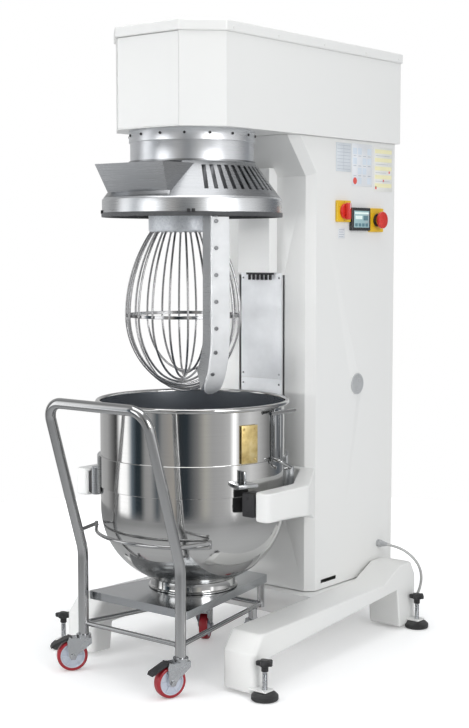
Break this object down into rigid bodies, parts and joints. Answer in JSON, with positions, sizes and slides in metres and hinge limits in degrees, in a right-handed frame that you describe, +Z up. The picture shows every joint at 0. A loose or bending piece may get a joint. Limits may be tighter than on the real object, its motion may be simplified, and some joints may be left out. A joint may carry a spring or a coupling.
{
  "type": "commercial stand mixer",
  "caption": "Floor-standing planetary mixer: boxed column and head on a forked base, wire whisk and scraper under a slotted guard, and a lifting bowl on a castored trolley.",
  "frame": {"origin": "centre of the machine's footprint on the floor, the cord left out", "axes": "+Z up, -Y to the front where the trolley rolls out, +X to the machine's right-hand side as seen from the front, which carries the controls"},
  "size_m": [0.954, 1.5538, 2.058],
  "materials": {
    "white_paint": "gloss",
    "drum_paint": "satin",
    "brushed_steel": "brushed",
    "polished_steel": "polished",
    "zinc": "zinc plated",
    "black_plastic": "matt",
    "black_rubber": "matt",
    "white_seal": "matt",
    "blade_plastic": "satin",
    "red_tyre": "satin",
    "grey_plastic": "satin",
    "brush_black": "bristle",
    "yellow_plastic": "satin",
    "red_plastic": "satin",
    "screen_glass": "gloss",
    "brass": "satin",
    "cast_iron": "machined",
    "alloy": "satin",
    "motor_paint": "satin",
    "cord_sheath": "matt",
    "plug_plastic": "satin"
  },
  "bodies": {
    "machine": {"base_frame": "white_paint", "levelling_pads": "black_rubber", "column_shell": "white_paint", "column_front_panel": "polished_steel", "column_rear_cover": "white_paint", "head_shell": "white_paint", "head_lid": "white_paint", "head_front_cover": "white_paint", "gearbox_drum": "drum_paint", "ring_gear": "cast_iron", "main_motor": "motor_paint", "main_bearings": "zinc", "guard_cone": "brushed_steel", "guard_seal": "white_seal", "lift_housing": "white_paint", "housing_brush": "brush_black", "guide_rods": "brushed_steel", "lift_motor": "motor_paint", "switch_plates": "yellow_plastic", "control_screen": "screen_glass", "cable_gland": "grey_plastic", "cord_tube": "cord_sheath", "cord_coil": "cord_sheath", "cord_plug": "plug_plastic", "drive_belt": "black_rubber"},
    "planet": {"planet_carrier": "alloy", "driven_pulley": "cast_iron", "scraper_arm": "brushed_steel", "scraper_blade": "blade_plastic", "scraper_bolts": "brushed_steel"},
    "whisk": {"whisk_shaft": "brushed_steel", "whisk_hub": "alloy", "whisk_wires": "polished_steel"},
    "small_pulley": {"motor_pulley": "cast_iron"},
    "lift": {"yoke": "white_paint", "yoke_pads": "black_plastic", "lift_carriage": "cast_iron"},
    "lift_spindle": {"lift_screw": "brushed_steel"},
    "trolley": {"trolley_handle": "brushed_steel", "trolley_rails": "brushed_steel", "trolley_platform": "brushed_steel"},
    "bowl": {"bowl_shell": "polished_steel", "bowl_fittings": "brushed_steel", "bowl_wear_plates": "brass"},
    "rotary_knob": {"switch_knob": "red_plastic"},
    "stop_button": {"emergency_button": "red_plastic"},
    "fork_front_right": {"castor_fork_front_right": "zinc"},
    "wheel_front_right": {"castor_wheel_front_right": "red_tyre"},
    "pedal_front_right": {"brake_pedal_front_right": "black_plastic"},
    "fork_front_left": {"castor_fork_front_left": "zinc"},
    "wheel_front_left": {"castor_wheel_front_left": "red_tyre"},
    "pedal_front_left": {"brake_pedal_front_left": "black_plastic"},
    "fork_rear_right": {"castor_fork_rear_right": "zinc"},
    "wheel_rear_right": {"castor_wheel_rear_right": "red_tyre"},
    "fork_rear_left": {"castor_fork_rear_left": "zinc"},
    "wheel_rear_left": {"castor_wheel_rear_left": "red_tyre"},
    "screw_front_right": {"levelling_screw_front_right": "black_plastic"},
    "screw_front_left": {"levelling_screw_front_left": "black_plastic"},
    "screw_rear_right": {"levelling_screw_rear_right": "black_plastic"},
    "screw_rear_left": {"levelling_screw_rear_left": "black_plastic"}
  },
  "joints": [
    {"name": "planet_turn", "type": "hinge", "parent": "machine", "child": "planet", "pos_m": [0, -0.2095, 1.6], "axis": [0, 0, 1], "continuous": true},
    {"name": "whisk_spin", "type": "hinge", "parent": "planet", "child": "whisk", "pos_m": [-0.08499, -0.1568, 1.5], "axis": [0, 0, 1], "continuous": true},
    {"name": "motor_pulley_turn", "type": "hinge", "parent": "machine", "child": "small_pulley", "pos_m": [0, 0.4405, 1.8], "axis": [0, 0, 1], "continuous": true},
    {"name": "lift_raise", "type": "slide", "parent": "machine", "child": "lift", "axis": [0, 0, 1], "range_m": [0, 0.585]},
    {"name": "lift_screw_turn", "type": "hinge", "parent": "machine", "child": "lift_spindle", "pos_m": [0, 0.2405, 0.9], "axis": [0, 0, 1], "range_deg": [0, 10531]},
    {"name": "trolley_roll", "type": "slide", "parent": "machine", "child": "trolley", "axis": [0, -1, 0], "range_m": [0, 1]},
    {"name": "bowl_lift", "type": "slide", "parent": "trolley", "child": "bowl", "axis": [0, 0, 1], "range_m": [0, 0.585]},
    {"name": "switch_turn", "type": "hinge", "parent": "machine", "child": "rotary_knob", "pos_m": [0.23, 0.3355, 1.491], "axis": [1, 0, 0], "range_deg": [0, 90]},
    {"name": "stop_push", "type": "slide", "parent": "machine", "child": "stop_button", "axis": [-1, 0, 0], "range_m": [0, 0.006]},
    {"name": "swivel_front_right", "type": "hinge", "parent": "trolley", "child": "fork_front_right", "pos_m": [0.2085, -0.5125, 0.11], "axis": [0, 0, 1], "continuous": true},
    {"name": "wheel_spin_front_right", "type": "hinge", "parent": "fork_front_right", "child": "wheel_front_right", "pos_m": [0.19613, -0.54843, 0.05], "axis": [0.9455, -0.3256, 0], "continuous": true},
    {"name": "pedal_front_right_press", "type": "hinge", "parent": "fork_front_right", "child": "pedal_front_right", "pos_m": [0.1932, -0.55694, 0.1067], "axis": [0.9455, -0.3256, 0], "range_deg": [0, 10]},
    {"name": "swivel_front_left", "type": "hinge", "parent": "trolley", "child": "fork_front_left", "pos_m": [-0.2085, -0.5125, 0.11], "axis": [0, 0, 1], "continuous": true},
    {"name": "wheel_spin_front_left", "type": "hinge", "parent": "fork_front_left", "child": "wheel_front_left", "pos_m": [-0.23189, -0.54244, 0.05], "axis": [0.788, -0.6157, 0], "continuous": true},
    {"name": "pedal_front_left_press", "type": "hinge", "parent": "fork_front_left", "child": "pedal_front_left", "pos_m": [-0.23744, -0.54954, 0.1067], "axis": [0.788, -0.6157, 0], "range_deg": [0, 10]},
    {"name": "swivel_rear_right", "type": "hinge", "parent": "trolley", "child": "fork_rear_right", "pos_m": [0.108, -0.0295, 0.11], "axis": [0, 0, 1], "continuous": true},
    {"name": "wheel_spin_rear_right", "type": "hinge", "parent": "fork_rear_right", "child": "wheel_rear_right", "pos_m": [0.095, 0.00621, 0.05], "axis": [-0.9397, -0.342, 0], "continuous": true},
    {"name": "swivel_rear_left", "type": "hinge", "parent": "trolley", "child": "fork_rear_left", "pos_m": [-0.108, -0.0295, 0.11], "axis": [0, 0, 1], "continuous": true},
    {"name": "wheel_spin_rear_left", "type": "hinge", "parent": "fork_rear_left", "child": "wheel_rear_left", "pos_m": [-0.12584, 0.00405, 0.05], "axis": [-0.8829, -0.4695, 0], "continuous": true},
    {"name": "levelling_turn_front_right", "type": "hinge", "parent": "machine", "child": "screw_front_right", "pos_m": [0.435, -0.3845, 0.07], "axis": [0, 0, 1], "continuous": true},
    {"name": "levelling_turn_front_left", "type": "hinge", "parent": "machine", "child": "screw_front_left", "pos_m": [-0.435, -0.3845, 0.07], "axis": [0, 0, 1], "continuous": true},
    {"name": "levelling_turn_rear_right", "type": "hinge", "parent": "machine", "child": "screw_rear_right", "pos_m": [0.376, 0.5905, 0.07], "axis": [0, 0, 1], "continuous": true},
    {"name": "levelling_turn_rear_left", "type": "hinge", "parent": "machine", "child": "screw_rear_left", "pos_m": [-0.376, 0.5905, 0.07], "axis": [0, 0, 1], "continuous": true}
  ],
  "couplings": [
    {"joint": "whisk_spin", "follows": "planet_turn", "ratio": -3},
    {"joint": "motor_pulley_turn", "follows": "planet_turn", "ratio": 3.4},
    {"joint": "bowl_lift", "follows": "lift_raise", "ratio": 1},
    {"joint": "lift_screw_turn", "follows": "lift_raise", "rad_per_m": 314.16}
  ]
}
